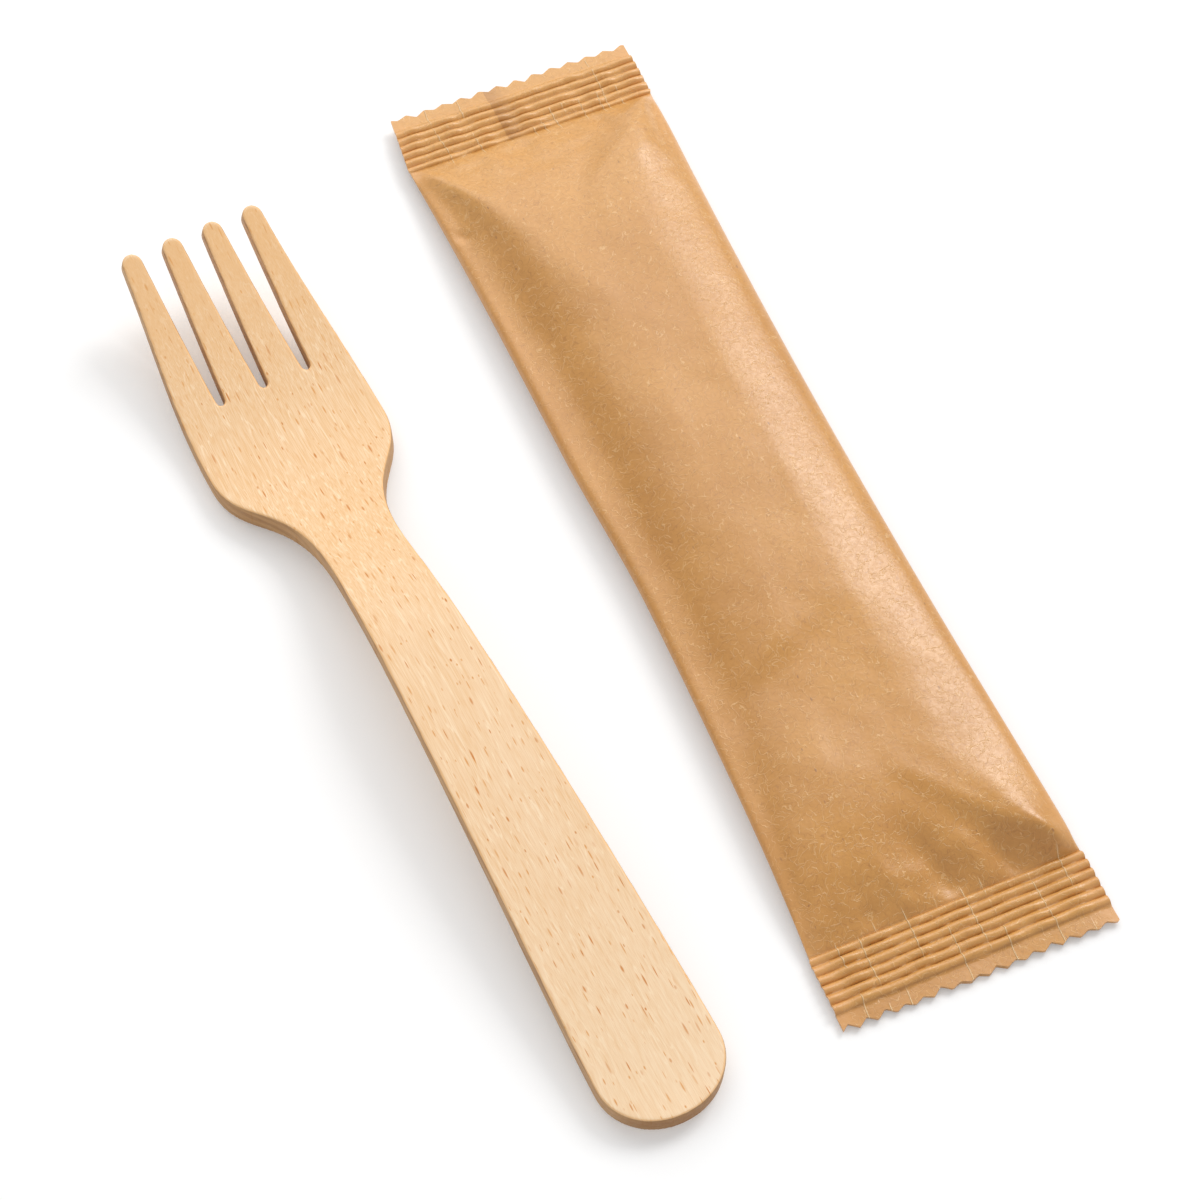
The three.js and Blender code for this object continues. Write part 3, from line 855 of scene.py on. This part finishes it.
def makeSachet(s):
    half = s["width"] / 2
    finLeft = s["finOffset"] - s["finWidth"] / 2
    finRight = s["finOffset"] + s["finWidth"] / 2
    columns = np.linspace(-half, half, s["columns"] + 1)
    for edge in (finLeft, finRight):
        nearest = np.argsort(np.abs(columns - edge))[:2]
        columns[np.sort(nearest)] = (edge - s["finStep"], edge + s["finStep"])
    crimp = s["ribCount"] * s["ribPitch"] + s["ribStart"]
    ribOut = np.linspace(0, crimp, s["ribCount"] * s["ribRows"] + 1)
    bandShare = np.linspace(0, 1, s["bandRows"] + 1)[1:]
    t = np.linspace(-1, 1, s["bodyRows"] + 1)
    bodyY = s["pillowHalf"] * (0.35 * t + 0.65 * np.sin(t * math.pi / 2))
    finColumn = (columns > finLeft) & (columns < finRight)
    top = []
    under = []

    def sealRows(sign, level, teeth, seed, draw):
        # the rows of one seal, from its root out to the teeth, as pairs of upper and lower points
        made = []
        edge = toothEdge(s, columns, teeth, seed)
        steps = [("rib", out) for out in ribOut[1:]] + [("band", share) for share in bandShare]
        for kind, amount in steps:
            out = np.full_like(columns, amount) if kind == "rib" else crimp + (edge - crimp) * amount
            narrow = s["sealProud"] * ease(1 - out / 0.5)
            drawn = draw * out / s["sealDepth"] * (0.5 - columns / s["width"])
            x = columns * (1 - narrow / half) + drawn
            z = level - (s["ribHeight"] - s["sealThickness"]) / 2 + sealRelief(s, out, columns, seed)
            y = sign * (s["pillowHalf"] + out)
            below = z - s["sealThickness"] - np.where(finColumn, s["finThickness"], 0)
            below = np.maximum(below, 0.02)
            made.append((np.column_stack([x, y, z]), np.column_stack([x, y, below])))
        return made

    foot = sealRows(-1, s["footSealLevel"], s["footTeeth"], 31, 0.0)
    head = sealRows(1, s["topSealLevel"], s["topTeeth"], 41, s["topSealDraw"])
    for upper, lower in foot[::-1]:
        top.append(upper)
        under.append(lower)
    for y in bodyY:
        wide = float(pillowHalfWidth(s, y))
        leftWide = float(leftHalfWidth(s, y))
        stops = [-half, finLeft, finRight, half]
        x = np.interp(columns, stops, [-leftWide, finLeft, finRight, wide])
        row = np.full_like(x, y)
        z = pillowTop(s, x, row)
        below = pillowBottom(s, x, row) - np.where(finColumn, s["finThickness"], 0)
        top.append(np.column_stack([x, row, z]))
        under.append(np.column_stack([x, row, np.maximum(np.minimum(below, z - 0.2), 0.0)]))
    for upper, lower in head:
        top.append(upper)
        under.append(lower)

    rows = len(top)
    across = len(columns)
    points = np.vstack(top + under)
    count = rows * across

    def quads(a, b, c, d):
        return np.column_stack([a.ravel(), b.ravel(), c.ravel(), d.ravel()])

    # upper side, back, the two long edges, and the two pinked edges
    grid = np.arange(count).reshape(rows, across)
    low = grid + count
    faces = [
        quads(grid[:-1, :-1], grid[:-1, 1:], grid[1:, 1:], grid[1:, :-1]),
        quads(low[:-1, :-1], low[1:, :-1], low[1:, 1:], low[:-1, 1:]),
        quads(grid[:-1, 0], grid[1:, 0], low[1:, 0], low[:-1, 0]),
        quads(low[:-1, -1], low[1:, -1], grid[1:, -1], grid[:-1, -1]),
        quads(low[0, :-1], low[0, 1:], grid[0, 1:], grid[0, :-1]),
        quads(grid[-1, :-1], grid[-1, 1:], low[-1, 1:], low[-1, :-1]),
    ]
    points[:, :2] += sachetMiddle[:2]
    sachet = meshObject("paperSachet", (points * mm).tolist(), np.vstack(faces).tolist())
    sachet.data.shade_smooth()
    sachet.data.set_sharp_from_angle(angle=math.radians(60))
    return sachet


kraftLook = {
    "pale": colour(214, 156, 79),
    "deep": colour(188, 129, 58),
    "hair": colour(240, 200, 144),
    "darkHair": colour(166, 108, 48),
    "crease": colour(242, 206, 156),
    # the paler tone laid on as painted light, at the seals and towards the top
    "pressed": colour(232, 176, 102),
    "patch": colour(160, 104, 46),
    "speck": colour(150, 100, 58),
    # the paler tone laid on as painted light along the side folds
    "fold": colour(222, 162, 96),
    # how much of each tone is laid on
    "topLightShare": 0.4,
    "gritShare": 0.4,
    "darkHairShare": 0.42,
    "hairShare": 0.35,
    "speckShare": 0.75,
    "sealLightShare": 0.28,
    "patchShare": 0.45,
    "grooveShadeShare": 0.45,
    "foldLightShare": 0.5,
    "creaseShare": 0.95,
    # where they start and end, in metres from the sachet's middle
    "paintedTopLight": (0.032, 0.072),
    "sealRoot": (0.0740, 0.0750),
    "footBand": (-0.0838, -0.0832),
    "patchLeft": (-0.0040, -0.0038),
    "patchRight": (-0.0036, 0.0006),
    "patchRoot": (0.0742, 0.0750),
    "sideFoldLight": (0.0172, 0.0206),
    "grooveShadeEnd": (0.0094, 0.0096),   # from the first groove
    "creaseRoot": (0.0725, 0.0742),
    # cell size, hair length and two offsets in metres
    "paleHairs": (
        (0.0018, 0.0012, 0.30, 0.17),
        (0.0015, 0.0010, 0.11, 0.07),
        (0.0021, 0.0014, 0.05, 0.41),
    ),
    "darkHairs": (
        (0.0016, 0.0010, 0.23, 0.31),
        (0.0019, 0.0013, 0.37, 0.13),
        (0.0014, 0.0008, 0.09, 0.27),
    ),
    "specks": {
        "Cell Width": 0.0045,
        "Cell Length": 0.005,
        "Width": 0.00016,
        "Length": 0.0003,
        "Coverage": 0.55,
    },
    "curl": 0.0022,
    "creaseSwing": 0.0016,
    "creaseWidth": 0.00015,
    # creases of one end each: 1 for the top, how far out in metres, and places across in mm
    "creases": (
        (-1.0, 0.0870, (-17.0, -13.5, -10.6, -6.3, -1.4, 2.8, 5.6, 12.8, 17.6)),
        (1.0, 0.0785, (-4.6, -1.8, 0.6, 2.4, 4.6, 6.4, 9.4, 12.8, 16.2)),
        (1.0, 0.0870, (-14.0, -8.6, 13.9)),
    ),
    "roughness": (0.32, 0.39),
    "sheen": 0.8,
    "fuzzHeight": 0.00003,
    "creaseHeight": 0.00012,
}


def hairLayers(tree, vector, layers):
    # several sets of hairs laid over each other: cell size, hair length and two offsets
    whole = None
    for cell, length, offsetX, offsetY in layers:
        moved = calcVector(tree, "ADD", vector, (offsetX, offsetY, 0.0))
        mask = useGroup(tree, curledHairs, Vector=moved, Cell=cell, Length=length)
        whole = mask if whole is None else calc(tree, "MAXIMUM", whole, mask)
    return whole


def makeKraft(look):
    material, tree, shader = newMaterial("kraftPaper")
    place = addNode(tree, "ShaderNodeTexCoord").outputs["Object"]
    middle = tuple(float(v) for v in -sachetMiddle * mm)
    local = calcVector(tree, "ADD", place, (middle[0], middle[1], 0.0))
    parts = addNode(tree, "ShaderNodeSeparateXYZ", {"Vector": local})
    across = parts.outputs["X"]
    along = parts.outputs["Y"]

    cloud = useGroup(tree, softMottle, Vector=local, Scale=90.0, Contrast=1.1)
    grit = useGroup(tree, softMottle, Vector=local, Scale=1700.0, Contrast=3.4)
    body = mixColour(tree, cloud, look["deep"], look["pale"])
    # painted light: the paper is made a little paler towards the top
    body = tint(tree, body, ramp(tree, along, *look["paintedTopLight"]), look["topLightShare"], look["pressed"])
    body = tint(tree, body, grit, look["gritShare"], look["deep"])

    # hairs, curled by a fine noise
    stirred = addNode(tree, "ShaderNodeTexNoise", {"Vector": local, "Scale": 700.0, "Detail": 1.0})
    stir = calcVector(tree, "SUBTRACT", stirred.outputs["Color"], (0.5, 0.5, 0.5))
    stir = calcVector(tree, "MULTIPLY", stir, (look["curl"], look["curl"], 0.0))
    curled = calcVector(tree, "ADD", local, stir)
    paleHair = hairLayers(tree, curled, look["paleHairs"])
    darkHair = hairLayers(tree, curled, look["darkHairs"])
    body = tint(tree, body, darkHair, look["darkHairShare"], look["darkHair"])
    body = tint(tree, body, paleHair, look["hairShare"], look["hair"])
    specks = useGroup(tree, smallFlecks, Vector=local, **look["specks"])
    body = tint(tree, body, specks, look["speckShare"], look["speck"])

    # painted light: the two pressed seals are made a little lighter, but not the plain band at the foot
    outwards = calc(tree, "ABSOLUTE", along)
    pressed = ramp(tree, outwards, *look["sealRoot"])
    pressed = calc(tree, "MULTIPLY", pressed, ramp(tree, along, *look["footBand"], -0.4, 1.0))
    body = tint(tree, body, pressed, look["sealLightShare"], look["pressed"])

    # the fin shows through the top seal as a darker patch, sharp on the fork's side
    patch = ramp(tree, across, *look["patchLeft"])
    patch = calc(tree, "MULTIPLY", patch, ramp(tree, across, *look["patchRight"], 1.0, 0.0))
    patch = calc(tree, "MULTIPLY", patch, ramp(tree, along, *look["patchRoot"]))
    body = tint(tree, body, patch, look["patchShare"], look["patch"])

    # painted shade: darker grooves between the ribs
    crimpStart = (sachetShape["pillowHalf"] + sachetShape["ribStart"]) * mm
    out = calc(tree, "SUBTRACT", outwards, crimpStart)
    turn = calc(tree, "MULTIPLY", out, math.pi / (sachetShape["ribPitch"] * mm))
    wave = calc(tree, "ABSOLUTE", calc(tree, "SINE", turn))
    grooveShade = ramp(tree, wave, 0.0, 0.45, 1.0, 0.0)
    grooveShade = calc(tree, "MULTIPLY", grooveShade, ramp(tree, out, -0.0003, 0.0002))
    grooveShade = calc(tree, "MULTIPLY", grooveShade, ramp(tree, out, *look["grooveShadeEnd"], 1.0, 0.0))
    body = tint(tree, body, grooveShade, look["grooveShadeShare"], look["darkHair"])

    # painted light: paler paper along the two side folds
    fold = ramp(tree, calc(tree, "ABSOLUTE", across), *look["sideFoldLight"])
    body = tint(tree, body, fold, look["foldLightShare"], look["fold"])

    # thin pressed lines that run outwards across the seals, a little wavy and broken
    swing = calc(tree, "SUBTRACT", noise(tree, local, 120.0, 1.5), 0.5)
    swung = calc(tree, "ADD", across, calc(tree, "MULTIPLY", swing, look["creaseSwing"]))
    creases = None
    for end, reach, positions in look["creases"]:
        towardsEnd = calc(tree, "MULTIPLY", along, end)
        zone = ramp(tree, towardsEnd, *look["creaseRoot"])
        zone = calc(tree, "MULTIPLY", zone, ramp(tree, towardsEnd, reach - 0.001, reach, 1.0, 0.0))
        nearest = None
        for position in positions:
            off = calc(tree, "ABSOLUTE", calc(tree, "SUBTRACT", swung, position * mm))
            nearest = off if nearest is None else calc(tree, "MINIMUM", nearest, off)
        line = calc(tree, "MULTIPLY", ramp(tree, nearest, 0.0, look["creaseWidth"], 1.0, 0.0), zone)
        creases = line if creases is None else calc(tree, "MAXIMUM", creases, line)
    broken = ramp(tree, noise(tree, local, 190.0, 1.0), 0.4, 0.5)
    creases = calc(tree, "MULTIPLY", creases, broken)
    body = tint(tree, body, creases, look["creaseShare"], look["crease"])
    tree.links.new(body, shader.inputs["Base Color"])

    shader.inputs["Specular IOR Level"].default_value = look["sheen"]
    rough = ramp(tree, grit, 0.0, 1.0, *look["roughness"])
    tree.links.new(rough, shader.inputs["Roughness"])
    fuzz = calc(tree, "ADD", paleHair, calc(tree, "MULTIPLY", grit, 0.6))
    raised = bump(tree, fuzz, look["fuzzHeight"], 0.65)
    tree.links.new(bump(tree, creases, look["creaseHeight"], 0.8, raised), shader.inputs["Normal"])
    return material


# ---- floor and backdrop

def makeFloor():
    material, tree, shader = newMaterial("whiteTable")
    grey = floorLook["grey"]
    shader.inputs["Base Color"].default_value = (grey, grey, grey, 1)
    shader.inputs["Roughness"].default_value = 1.0
    shader.inputs["Specular IOR Level"].default_value = 0.0
    shader.inputs["Emission Color"].default_value = (1, 1, 1, 1)
    path = addNode(tree, "ShaderNodeLightPath")
    seen = calc(tree, "MAXIMUM", path.outputs["Is Camera Ray"], path.outputs["Is Glossy Ray"])
    seen = calc(tree, "MAXIMUM", seen, path.outputs["Is Transmission Ray"])
    tree.links.new(calc(tree, "MULTIPLY", seen, floorLook["glow"]), shader.inputs["Emission Strength"])
    reach = floorLook["halfSize"]
    corners = [(-reach, -reach, 0), (reach, -reach, 0), (reach, reach, 0), (-reach, reach, 0)]
    floor = meshObject("tableTop", corners, [(0, 1, 2, 3)])
    floor.data.materials.append(material)
    floor.location.z = -floorLook["below"]


def makeSky():
    world = bpy.data.worlds.new("studio")
    scene.world = world
    world.use_nodes = True
    tree = world.node_tree
    back = tree.nodes["Background"]
    back.inputs["Color"].default_value = (1, 1, 1, 1)
    path = addNode(tree, "ShaderNodeLightPath")
    strength = ramp(tree, path.outputs["Is Camera Ray"], 0.0, 1.0, skyLevel, 1.0)
    tree.links.new(strength, back.inputs["Strength"])


addCamera(cameraSetup)
addLamps()
makeFloor()
makeSky()
print("camera, lamps and floor set")

fork = makeFork(forkShape)
fork.data.materials.append(makeWood(woodLook))
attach(fork, "root")
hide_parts("wooden_fork")
print("fork pressed:", len(fork.data.polygons), "faces")

sachet = makeSachet(sachetShape)
sachet.data.materials.append(makeKraft(kraftLook))
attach(sachet, "root")
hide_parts("paper_sachet")
print("sachet folded:", len(sachet.data.polygons), "faces")

scene.view_settings.view_transform = "Standard"
